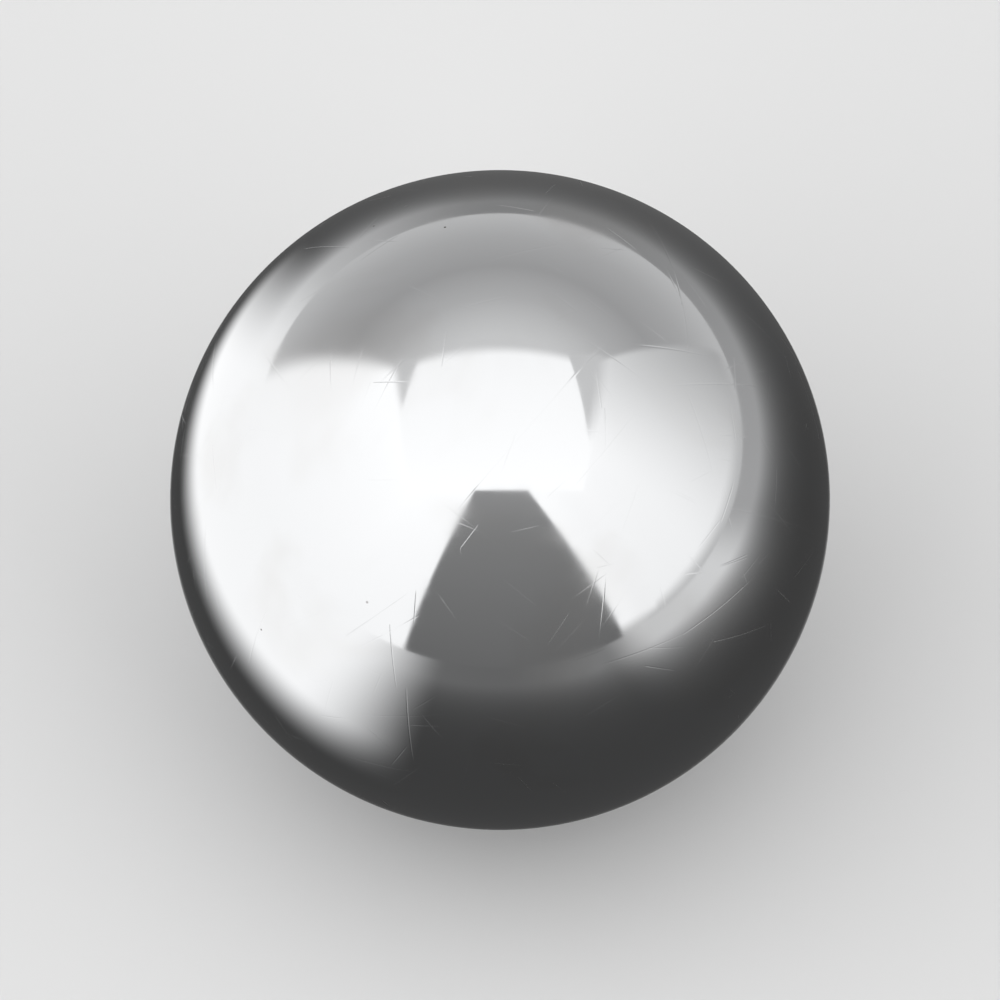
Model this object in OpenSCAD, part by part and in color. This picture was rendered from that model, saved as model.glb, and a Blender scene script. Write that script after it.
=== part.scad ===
// Steel ball: one solid sphere of through-hardened steel, ground and lapped to a mirror finish.
// All sizes are in millimetres. The origin is the centre of the ball.

/* [Ball] */
// Diameter of the ball
ball_d = 8; // [3:0.5:25]

/* [Hidden] */
// Facets round the ball
ball_facets = 96;

// The whole piece: it has no flat, seam, hole or core
module ball() {
    color("silver") sphere(d = ball_d, $fn = ball_facets);
}

ball();
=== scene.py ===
import math
from collections import namedtuple

import bmesh
import bpy
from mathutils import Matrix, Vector


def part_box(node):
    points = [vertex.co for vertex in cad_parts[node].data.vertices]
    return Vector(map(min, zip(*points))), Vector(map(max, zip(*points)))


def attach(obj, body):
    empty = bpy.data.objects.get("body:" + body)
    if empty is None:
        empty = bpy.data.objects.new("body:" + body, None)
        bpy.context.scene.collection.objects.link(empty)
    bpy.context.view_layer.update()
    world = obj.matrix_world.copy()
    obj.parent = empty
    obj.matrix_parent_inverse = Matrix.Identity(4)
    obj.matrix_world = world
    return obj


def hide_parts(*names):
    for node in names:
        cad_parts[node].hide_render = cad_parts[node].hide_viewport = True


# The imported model, and its box before anything is added to it
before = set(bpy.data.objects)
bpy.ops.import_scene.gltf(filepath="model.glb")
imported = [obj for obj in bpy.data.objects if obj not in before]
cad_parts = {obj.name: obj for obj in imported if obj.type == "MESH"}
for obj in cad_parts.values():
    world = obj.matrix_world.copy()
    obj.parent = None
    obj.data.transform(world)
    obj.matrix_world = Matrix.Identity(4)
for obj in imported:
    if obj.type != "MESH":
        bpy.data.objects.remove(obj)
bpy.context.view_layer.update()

# The ball's place and size, in metres, as the frame has them
ball_low, ball_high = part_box("ball")
BALL_CENTRE = (ball_low + ball_high) / 2
BALL_R = (ball_high.z - ball_low.z) / 2
FLOOR_Z = ball_low.z

# The ball's surface is a grid of this many squares along each side of a cube blown up to a sphere
GRID_SQUARES = 96
# The six sides of that cube lie in the map as three columns and two rows, a gap apart
MAP_COLUMNS = 3
MAP_ROWS = 2
MAP_GAP = 0.006

# The camera looks down on the ball from in front, at this distance in metres
CAMERA_ELEVATION = math.radians(60.0)
CAMERA_DISTANCE = 0.37
CAMERA_SENSOR_MM = 36.0
CAMERA_NEAR = 0.01
CAMERA_FAR = 10.0
BALL_SHARE_OF_FRAME = 0.66

# The steel, clean and under a film of oil, and the painted shade on the floor of a pit
CLEAN_STEEL = (0.61, 0.615, 0.622)
FILMED_STEEL = (0.582, 0.583, 0.585)
PIT_PAINTED_SHADE = (0.18, 0.17, 0.16)
# How rough bare steel is, and how much each finish adds
BARE_ROUGHNESS = 0.05
HAZE_ROUGHNESS = 0.03
FILM_ROUGHNESS = 0.07
HAIRLINE_ROUGHNESS = 0.2
PIT_ROUGHNESS = 0.4

# Sizes in the steel's patterns are in millimetres
MM_PER_M = 1000.0
# The clouds of oil film and of polishing haze, and where between 0 and 1 each begins and is full
CLOUD_DETAIL = 3.0
FILM_SIZE = 2.2
FILM_TWIST = 0.6
FILM_EDGE = (0.48, 0.66)
HAZE_SIZE = 0.5
HAZE_TWIST = 0.0
HAZE_EDGE = (0.35, 0.7)

# How steep the sides of a hairline and of a pit are
HAIRLINE_TILT = 0.3
PIT_TILT = 0.6
# The flat floor of a pit, as a share of its width
PIT_FLAT = 0.4
# The share of cells with a hairline
HAIRLINE_SHARE = 0.7
# How far a hairline reaches from its cell's middle and how far off it may pass, in cells
HAIRLINE_REACH = 0.62
HAIRLINE_SHIFT = 0.5
# Layers of handling marks, fine to coarse: each has cells of its own, and pit_share of them hold a pit
MarkLayer = namedtuple("MarkLayer", "shift cell line_half_width pit_half_width pit_share")
MARK_LAYERS = (
    MarkLayer((11.3, 4.7, 8.1), cell=0.55, line_half_width=0.012, pit_half_width=0.02, pit_share=0.35),
    MarkLayer((-7.9, 13.1, 2.3), cell=1.25, line_half_width=0.014, pit_half_width=0.03, pit_share=0.5),
    MarkLayer((3.1, -9.7, 15.7), cell=2.9, line_half_width=0.017, pit_half_width=0.05, pit_share=0.3),
)

# The floor, and how many sides a round sheet has
FLOOR_R = 3.0
FLOOR_COLOUR = (0.7, 0.7, 0.7)
DISC_SIDES = 96

# The light tent, a box of white cloth round the ball, in metres. Its front has an opening for the camera, and
# it has no back.
TENT_H = 1.0
TENT_LEFT = -0.67
TENT_RIGHT = 0.62
TENT_FRONT = -0.50
TENT_BACK = 0.49
# Where the opening's left and right sides stand, at its foot and at its top
OPENING_FOOT = (-0.28, 0.40)
OPENING_TOP = (-0.17, 0.19)
# Each fold of cloth across a back top corner: how far it reaches along the ceiling, down and forward
Gusset = namedtuple("Gusset", "along down forward")
LEFT_GUSSET = Gusset(along=0.16, down=0.15, forward=0.45)
RIGHT_GUSSET = Gusset(along=0.2, down=0.24, forward=0.72)

# How bright a sheet of cloth is where it starts and where it ends, at its foot and at its top, and how wide
# its soft edges are at its start, its end, its foot and its top, as shares of it
Cloth = namedtuple("Cloth", "at_foot at_top soft_edges")
LEFT_CLOTH = Cloth((1.5, 1.5), (1.65, 1.65), (0.12, 0, 0, 0))
RIGHT_CLOTH = Cloth((1.4, 0.55), (1.55, 1.2), (0, 0.05, 0.08, 0))
FRONT_LEFT_CLOTH = Cloth((1.5, 1.5), (1.65, 1.65), (0, 0.02, 0, 0))
FRONT_RIGHT_CLOTH = Cloth((1.4, 1.5), (1.55, 1.65), (0, 0.02, 0.06, 0))
OPENING = Cloth((0.21, 0.21), (0.42, 0.42), (0.02, 0.02, 0, 0.02))
CEILING_CLOTH = Cloth((1.5, 1.5), (1.65, 1.65), (0, 0, 0.1, 0))
GUSSET_CLOTH = Cloth((0.85, 0.85), (0.95, 0.95), (0, 0.35, 0.05, 0.35))
# The part of a sheet over which it turns from one brightness to the other
SHEET_TURN = (0.25, 1.0)
# Where the corners of a sheet lie in its own map, one after the other
SHEET_CORNERS = ((0, 0), (1, 0), (1, 1), (0, 1))

# The mat of painted reflections on the floor: white and dark glows that only polished metal shows. It has a
# clear window under the ball, and its size is in ball radii.
MAT_R = 740.0
MAT_MIDDLE_Y = 0.55
MAT_WINDOW = (0.85, 1.3)
# How far the mat lies above the floor, in metres
MAT_LIFT = 0.00002
# The painted white reflection on the left, a glow that is no lamp: its brightness, its heading, where it
# begins and is full as the way from the mat's middle, and the cosines of the turn away from its heading at
# which its sides fade
WHITE_REFLECTION_BRIGHTNESS = 1.5
WHITE_REFLECTION_HEADING = math.radians(188.0)
WHITE_REFLECTION_REACH = (1.7, 2.8)
WHITE_REFLECTION_SIDES = (0.4, 0.8)
# The painted dark reflections by heading, in degrees: -90 is the front, 0 the right, 90 the back and 180 the
# left. Each has its brightness beside the ball and its brightness far off.
PAINTED_DARK_REFLECTIONS = (
    (-180, 0.07, 0.3),
    (-90, 0.07, 0.2),
    (-60, 0.07, 0.3),
    (-45, 0.07, 0.9),
    (-20, 0.07, 1.0),
    (0, 0.07, 0.55),
    (90, 0.14, 0.33),
    (128, 0.1, 0.75),
    (180, 0.07, 0.3),
)
# Where the brightness beside the ball starts to turn to the one far off, and where it has
DARK_REFLECTION_REACH = (2.0, 12.0)

# How bright the air round the tent is, against the sine of the height above the horizon
SURROUNDINGS = ((0.0, 0.75), (0.25, 0.6), (0.5, 0.5), (0.7, 0.65), (0.87, 0.9))


def new_object(name, bm):
    """An object that holds the bmesh's faces, at the origin."""
    mesh = bpy.data.meshes.new(name)
    bm.to_mesh(mesh)
    bm.free()
    piece = bpy.data.objects.new(name, mesh)
    bpy.context.scene.collection.objects.link(piece)
    return piece


# The ball

def lay_out_map(bm):
    """Gives each side of the cube its own square in the map, before the cube is rounded."""
    layer = bm.loops.layers.uv.new("OFBake")
    column_w = 1 / MAP_COLUMNS
    row_h = 1 / MAP_ROWS
    for face in bm.faces:
        middle = face.calc_center_median()
        axis = max(range(3), key=lambda i: abs(middle[i]))
        others = [i for i in range(3) if i != axis]
        row = 0 if middle[axis] < 0 else 1
        for corner in face.loops:
            across, up = [(corner.vert.co[i] + 1) / 2 for i in others]
            corner[layer].uv = (
                (axis + MAP_GAP + across * (1 - 2 * MAP_GAP)) * column_w,
                (row + MAP_GAP + up * (1 - 2 * MAP_GAP)) * row_h,
            )


def round_out(bm):
    """Moves the points of a cube from -1 to 1 out to the ball's sphere, at equal angles."""
    for point in bm.verts:
        along = Vector([math.tan(c * math.pi / 4) for c in point.co])
        point.co = BALL_CENTRE + along.normalized() * BALL_R


def make_ball():
    """The ball, blown up from a cube so that it has no pole and no long thin face."""
    bm = bmesh.new()
    bmesh.ops.create_cube(bm, size=2)
    bmesh.ops.subdivide_edges(bm, edges=bm.edges[:], cuts=GRID_SQUARES - 1, use_grid_fill=True)
    lay_out_map(bm)
    round_out(bm)
    bmesh.ops.recalc_face_normals(bm, faces=bm.faces[:])
    for face in bm.faces:
        face.smooth = True
    return new_object("polished_ball", bm)


# Parts of the patterns

def feed(tree, value, socket):
    """Wires another node's output to the socket, or sets the socket to a plain value."""
    if isinstance(value, bpy.types.NodeSocket):
        tree.links.new(value, socket)
    else:
        socket.default_value = value


def feed_all(tree, values, sockets):
    """Feeds each of the values to its own socket."""
    for value, socket in zip(values, sockets):
        feed(tree, value, socket)


def maths(tree, operation, *values):
    """A sum on numbers."""
    node = tree.nodes.new("ShaderNodeMath")
    node.operation = operation
    feed_all(tree, values, node.inputs)
    return node.outputs[0]


def vectors(tree, operation, *values):
    """A sum on vectors: a number for a length or a dot product, and a vector for the rest."""
    node = tree.nodes.new("ShaderNodeVectorMath")
    node.operation = operation
    feed_all(tree, values, node.inputs)
    return node.outputs["Value" if operation in ("LENGTH", "DOT_PRODUCT") else "Vector"]


def scaled(tree, vector, by):
    """A vector times a number."""
    node = tree.nodes.new("ShaderNodeVectorMath")
    node.operation = "SCALE"
    feed(tree, vector, node.inputs["Vector"])
    feed(tree, by, node.inputs["Scale"])
    return node.outputs["Vector"]


def parts(tree, vector):
    """The three numbers of a vector."""
    node = tree.nodes.new("ShaderNodeSeparateXYZ")
    feed(tree, vector, node.inputs[0])
    return node.outputs["X"], node.outputs["Y"], node.outputs["Z"]


def fade_in(tree, value, start, end):
    """0 as far as start and 1 past end, with a soft step between them. Start may be the higher one."""
    node = tree.nodes.new("ShaderNodeMapRange")
    node.interpolation_type = "SMOOTHSTEP"
    feed(tree, value, node.inputs["Value"])
    feed(tree, start, node.inputs["From Min"])
    feed(tree, end, node.inputs["From Max"])
    return node.outputs["Result"]


def between(tree, share, first, second, kind="FLOAT"):
    """From the first to the second as share goes from 0 to 1. The kind is RGBA for colours."""
    node = tree.nodes.new("ShaderNodeMix")
    node.data_type = kind
    feed_all(tree, (share, first, second), [node.inputs[name] for name in ("Factor", "A", "B")])
    return node.outputs["Result"]


def greys(tree, value, stops, joined):
    """Grey stops along a number from 0 to 1, joined softly with EASE or straight with LINEAR."""
    node = tree.nodes.new("ShaderNodeValToRGB")
    node.color_ramp.interpolation = joined
    elements = node.color_ramp.elements
    for i, (at, grey) in enumerate(stops):
        stop = elements[i] if i < len(elements) else elements.new(at)
        stop.position = at
        stop.color = (grey, grey, grey, 1)
    feed(tree, value, node.inputs["Fac"])
    return node.outputs["Color"]


def clouds(tree, place, size, twist):
    """Soft random cloud of about this size, from 0 to 1."""
    node = tree.nodes.new("ShaderNodeTexNoise")
    node.inputs["Scale"].default_value = 1 / size
    node.inputs["Detail"].default_value = CLOUD_DETAIL
    node.inputs["Distortion"].default_value = twist
    feed(tree, place, node.inputs["Vector"])
    return node.outputs["Fac"]


def cells(tree, place, size):
    """Random cells of about this size.

    Gives the way from the nearest cell's middle, how far that is, and three random numbers of the cell.
    """
    node = tree.nodes.new("ShaderNodeTexVoronoi")
    node.inputs["Scale"].default_value = 1 / size
    feed(tree, place, node.inputs["Vector"])
    away = vectors(tree, "SUBTRACT", place, node.outputs["Position"])
    return away, vectors(tree, "LENGTH", away), node.outputs["Color"]


def redrawn(tree, numbers):
    """Three new random numbers from three others."""
    node = tree.nodes.new("ShaderNodeTexWhiteNoise")
    feed(tree, numbers, node.inputs["Vector"])
    return node.outputs["Color"]


# The steel

def hairline(tree, away, outward, aims, chances, layer):
    """A fine straight scratch over a cell, its own way round: its strength and how it tilts the surface."""
    aim = vectors(tree, "SUBTRACT", aims, (0.5, 0.5, 0.5))
    sideways = vectors(tree, "NORMALIZE", vectors(tree, "CROSS_PRODUCT", aim, outward))
    chance, shift, _ = parts(tree, chances)
    room = layer.cell * HAIRLINE_SHIFT
    shift = maths(tree, "MULTIPLY_ADD", shift, room, room / -2)
    off = maths(tree, "ADD", vectors(tree, "DOT_PRODUCT", away, sideways), shift)
    line = fade_in(tree, maths(tree, "ABSOLUTE", off), layer.line_half_width, 0)
    line = maths(tree, "MULTIPLY", line, fade_in(tree, chance, 1 - HAIRLINE_SHARE, 1))
    steepness = -HAIRLINE_TILT / layer.line_half_width
    slope = maths(tree, "MULTIPLY", maths(tree, "MULTIPLY", off, line), steepness)
    return line, scaled(tree, sideways, slope)


def marks(tree, place, outward, layer):
    """One layer of handling marks, with two hairlines and one pit to a cell.

    Gives the strength of the lines and of the pits, and how both tilt the surface.
    """
    moved = vectors(tree, "ADD", place, layer.shift)
    away, reach, first = cells(tree, moved, layer.cell)
    second = redrawn(tree, first)
    full_reach = layer.cell * HAIRLINE_REACH
    ends = fade_in(tree, reach, full_reach, full_reach / 2)
    line, line_tilt = hairline(tree, away, outward, first, second, layer)
    other_line, other_tilt = hairline(tree, away, outward, second, first, layer)
    lines = maths(tree, "MULTIPLY", maths(tree, "MAXIMUM", line, other_line), ends)
    tilt = scaled(tree, vectors(tree, "ADD", line_tilt, other_tilt), ends)

    _, _, chance = parts(tree, second)
    there = fade_in(tree, chance, 1 - layer.pit_share, 1 - layer.pit_share / 2)
    pit = fade_in(tree, reach, layer.pit_half_width, layer.pit_half_width * PIT_FLAT)
    pits = maths(tree, "MULTIPLY", pit, there)
    steepness = -PIT_TILT / layer.pit_half_width
    inward = scaled(tree, away, maths(tree, "MULTIPLY", pits, steepness))
    return lines, pits, vectors(tree, "ADD", tilt, inward)


def polished_steel():
    """Mirror-lapped steel with a faint film of oil, hairlines from handling and a few tiny pits, their floors
    darkened with painted shade.
    """
    material = bpy.data.materials.new("polished_steel")
    material.use_nodes = True
    tree = material.node_tree
    steel = tree.nodes["Principled BSDF"]
    steel.inputs["Metallic"].default_value = 1.0

    where = tree.nodes.new("ShaderNodeTexCoord")
    place = scaled(tree, where.outputs["Object"], MM_PER_M)
    outward = vectors(tree, "NORMALIZE", place)
    film = fade_in(tree, clouds(tree, place, FILM_SIZE, FILM_TWIST), *FILM_EDGE)
    haze = fade_in(tree, clouds(tree, place, HAZE_SIZE, HAZE_TWIST), *HAZE_EDGE)

    lines, pits, tilt = marks(tree, place, outward, MARK_LAYERS[0])
    for layer in MARK_LAYERS[1:]:
        more_lines, more_pits, more_tilt = marks(tree, place, outward, layer)
        lines = maths(tree, "MAXIMUM", lines, more_lines)
        pits = maths(tree, "MAXIMUM", pits, more_pits)
        tilt = vectors(tree, "ADD", tilt, more_tilt)

    rough = maths(tree, "MULTIPLY_ADD", haze, HAZE_ROUGHNESS, BARE_ROUGHNESS)
    rough = maths(tree, "MULTIPLY_ADD", film, FILM_ROUGHNESS, rough)
    rough = maths(tree, "MULTIPLY_ADD", lines, HAIRLINE_ROUGHNESS, rough)
    rough = maths(tree, "MULTIPLY_ADD", pits, PIT_ROUGHNESS, rough)
    feed(tree, rough, steel.inputs["Roughness"])

    colour = between(tree, film, (*CLEAN_STEEL, 1), (*FILMED_STEEL, 1), kind="RGBA")
    # A pit's walls tilt and its floor is rougher; the darker colour on its floor is painted shade
    colour = between(tree, pits, colour, (*PIT_PAINTED_SHADE, 1), kind="RGBA")
    feed(tree, colour, steel.inputs["Base Color"])

    # The tilt is laid out on the ball, and the shader's normal is in the scene's directions
    turned = tree.nodes.new("ShaderNodeVectorTransform")
    turned.vector_type = "VECTOR"
    turned.convert_from = "OBJECT"
    turned.convert_to = "WORLD"
    feed(tree, tilt, turned.inputs[0])
    surface = tree.nodes.new("ShaderNodeNewGeometry")
    facing = vectors(tree, "ADD", surface.outputs["Normal"], turned.outputs[0])
    feed(tree, vectors(tree, "NORMALIZE", facing), steel.inputs["Normal"])
    return material


# The floor, the tent and the painted reflections

def disc(name, radius, height):
    """A flat round sheet at this height, round the upright line through the origin."""
    bm = bmesh.new()
    bmesh.ops.create_circle(bm, cap_ends=True, segments=DISC_SIDES, radius=radius)
    bmesh.ops.translate(bm, verts=bm.verts[:], vec=(0, 0, height))
    return new_object(name, bm)


def bare_material(name):
    """A material with nothing in it yet, and its tree."""
    material = bpy.data.materials.new(name)
    material.use_nodes = True
    material.node_tree.nodes.clear()
    return material, material.node_tree


def blend(tree, share, first, second):
    """Ends a material with two shaders, from the first to the second as share goes from 0 to 1."""
    both = tree.nodes.new("ShaderNodeMixShader")
    feed_all(tree, (share, first.outputs[0], second.outputs[0]), both.inputs)
    out = tree.nodes.new("ShaderNodeOutputMaterial")
    feed(tree, both.outputs[0], out.inputs["Surface"])


def glow(tree, brightness, cover):
    """Ends a material as a glow of this brightness, clear where cover is 0."""
    light = tree.nodes.new("ShaderNodeEmission")
    feed(tree, brightness, light.inputs["Strength"])
    blend(tree, cover, tree.nodes.new("ShaderNodeBsdfTransparent"), light)


def make_floor():
    """A plain pale floor, clear from below so that the ball can be seen from there too."""
    floor = disc("floor", FLOOR_R, FLOOR_Z)
    material, tree = bare_material("pale_floor")
    pale = tree.nodes.new("ShaderNodeBsdfDiffuse")
    pale.inputs["Color"].default_value = (*FLOOR_COLOUR, 1)
    side = tree.nodes.new("ShaderNodeNewGeometry")
    blend(tree, side.outputs["Backfacing"], pale, tree.nodes.new("ShaderNodeBsdfTransparent"))
    floor.data.materials.append(material)


def glowing_cloth(name, cloth):
    """A glow from corner to corner of its sheet, which fades out at its soft edges."""
    material, tree = bare_material(name)
    place = tree.nodes.new("ShaderNodeUVMap")
    across, up, _ = parts(tree, place.outputs["UV"])
    turn = fade_in(tree, across, *SHEET_TURN)
    at_foot = between(tree, turn, *cloth.at_foot)
    at_top = between(tree, turn, *cloth.at_top)
    from_edges = (across, maths(tree, "SUBTRACT", 1, across), up, maths(tree, "SUBTRACT", 1, up))
    cover = 1
    for from_edge, width in zip(from_edges, cloth.soft_edges):
        if width > 0:
            cover = maths(tree, "MULTIPLY", cover, fade_in(tree, from_edge, 0, width))
    glow(tree, between(tree, up, at_foot, at_top), cover)
    return material


def sheet(name, corners, cloth):
    """A flat glowing sheet with soft edges, which the camera doesn't see."""
    bm = bmesh.new()
    face = bm.faces.new([bm.verts.new(corner) for corner in corners])
    layer = bm.loops.layers.uv.new("across")
    for corner, place in zip(face.loops, SHEET_CORNERS):
        corner[layer].uv = place
    made = new_object(name, bm)
    made.data.materials.append(glowing_cloth(name, cloth))
    made.visible_camera = False


def wall(name, foot, top, cloth):
    """A wall of the tent, from the two ends of its foot to the two ends of its top edge."""
    at_foot = [(x, y, FLOOR_Z) for x, y in foot]
    at_top = [(x, y, TENT_H) for x, y in top]
    sheet(name, at_foot + at_top[::-1], cloth)


def gusset(name, side, size):
    """A fold of the cloth across a back top corner, from the ceiling down to the wall on that side."""
    on_ceiling = (side - math.copysign(size.along, side), TENT_BACK, TENT_H)
    on_wall = (side, TENT_BACK, TENT_H - size.down)
    tip = (side, TENT_BACK - size.forward, TENT_H)
    sheet(name, (on_ceiling, on_wall, tip), GUSSET_CLOTH)


def make_tent():
    """The walls, with the dark opening in the front one, the ceiling and the two folds."""
    back_left, front_left = (TENT_LEFT, TENT_BACK), (TENT_LEFT, TENT_FRONT)
    back_right, front_right = (TENT_RIGHT, TENT_BACK), (TENT_RIGHT, TENT_FRONT)
    left_foot, right_foot = [(x, TENT_FRONT) for x in OPENING_FOOT]
    left_top, right_top = [(x, TENT_FRONT) for x in OPENING_TOP]
    wall("left_wall", (back_left, front_left), (back_left, front_left), LEFT_CLOTH)
    wall("right_wall", (front_right, back_right), (front_right, back_right), RIGHT_CLOTH)
    wall("front_left", (front_left, left_foot), (front_left, left_top), FRONT_LEFT_CLOTH)
    wall("front_right", (front_right, right_foot), (front_right, right_top), FRONT_RIGHT_CLOTH)
    wall("opening", (left_foot, right_foot), (left_top, right_top), OPENING)
    corners = [(*place, TENT_H) for place in (back_left, back_right, front_right, front_left)]
    sheet("ceiling", corners, CEILING_CLOTH)
    gusset("left_gusset", TENT_LEFT, LEFT_GUSSET)
    gusset("right_gusset", TENT_RIGHT, RIGHT_GUSSET)


def make_painted_reflection_mat():
    """Painted reflections on the floor that only show in polished metal: a white glow on the left, and
    painted dark elsewhere.
    """
    mat = disc("painted_reflection_mat", MAT_R * BALL_R, FLOOR_Z + MAT_LIFT)
    material, tree = bare_material("painted_reflection_mat")
    where = tree.nodes.new("ShaderNodeTexCoord")
    to_radii = (1 / BALL_R, 1 / BALL_R, 0)
    place = vectors(tree, "MULTIPLY_ADD", where.outputs["Object"], to_radii, (0, -MAT_MIDDLE_Y, 0))
    reach = vectors(tree, "LENGTH", place)
    x, y, _ = parts(tree, place)
    turn = maths(tree, "ARCTAN2", y, x)
    heading = maths(tree, "MULTIPLY_ADD", turn, 1 / (2 * math.pi), 0.5)
    # The painted dark reflection by heading, beside the ball and far off
    beside = greys(tree, heading, [(degrees / 360 + 0.5, grey) for degrees, grey, _ in PAINTED_DARK_REFLECTIONS], "EASE")
    far_off = greys(tree, heading, [(degrees / 360 + 0.5, grey) for degrees, _, grey in PAINTED_DARK_REFLECTIONS], "EASE")
    dark = between(tree, fade_in(tree, reach, *DARK_REFLECTION_REACH), beside, far_off)
    # The painted white reflection: a glow towards the left, faded at its sides and near the ball
    towards_white_reflection = maths(tree, "COSINE", maths(tree, "SUBTRACT", turn, WHITE_REFLECTION_HEADING))
    white_reflection_side_fade = fade_in(tree, towards_white_reflection, *WHITE_REFLECTION_SIDES)
    white_reflection_mask = maths(tree, "MULTIPLY", white_reflection_side_fade, fade_in(tree, reach, *WHITE_REFLECTION_REACH))
    # The mat glows with painted reflection, white towards the left and dark elsewhere, and is clear in the
    # window under the ball
    glow(tree, between(tree, white_reflection_mask, dark, WHITE_REFLECTION_BRIGHTNESS), fade_in(tree, reach, *MAT_WINDOW))
    # Only polished metal shows the mat, so no light is gathered from it
    material.cycles.emission_sampling = "NONE"
    mat.data.materials.append(material)
    mat.visible_camera = False
    mat.visible_diffuse = False
    mat.visible_shadow = False


# The surroundings and the camera

def make_surroundings():
    """Pale at the horizon with a grey band above it, for every ray alike."""
    world = bpy.data.worlds.new("studio")
    bpy.context.scene.world = world
    world.use_nodes = True
    tree = world.node_tree
    direction = tree.nodes.new("ShaderNodeTexCoord")
    _, _, height = parts(tree, direction.outputs["Generated"])
    air = greys(tree, height, SURROUNDINGS, "LINEAR")
    feed(tree, air, tree.nodes["Background"].inputs["Color"])


def make_camera():
    """The camera in front of and above the ball, with the ball in the middle of its frame."""
    data = bpy.data.cameras.new("camera")
    data.sensor_width = CAMERA_SENSOR_MM
    frame_w = 2 * BALL_R / BALL_SHARE_OF_FRAME
    data.lens = CAMERA_SENSOR_MM * CAMERA_DISTANCE / frame_w
    data.clip_start = CAMERA_NEAR
    data.clip_end = CAMERA_FAR
    camera = bpy.data.objects.new("camera", data)
    back = Vector((0, -math.cos(CAMERA_ELEVATION), math.sin(CAMERA_ELEVATION)))
    camera.location = BALL_CENTRE + back * CAMERA_DISTANCE
    camera.rotation_euler = (-back).to_track_quat("-Z", "Y").to_euler()
    bpy.context.scene.collection.objects.link(camera)
    bpy.context.scene.camera = camera


bpy.context.scene.view_settings.view_transform = "Standard"
make_camera()
make_surroundings()
make_tent()
make_painted_reflection_mat()
make_floor()

ball = make_ball()
ball.data.materials.append(polished_steel())
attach(ball, "root")
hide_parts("ball")
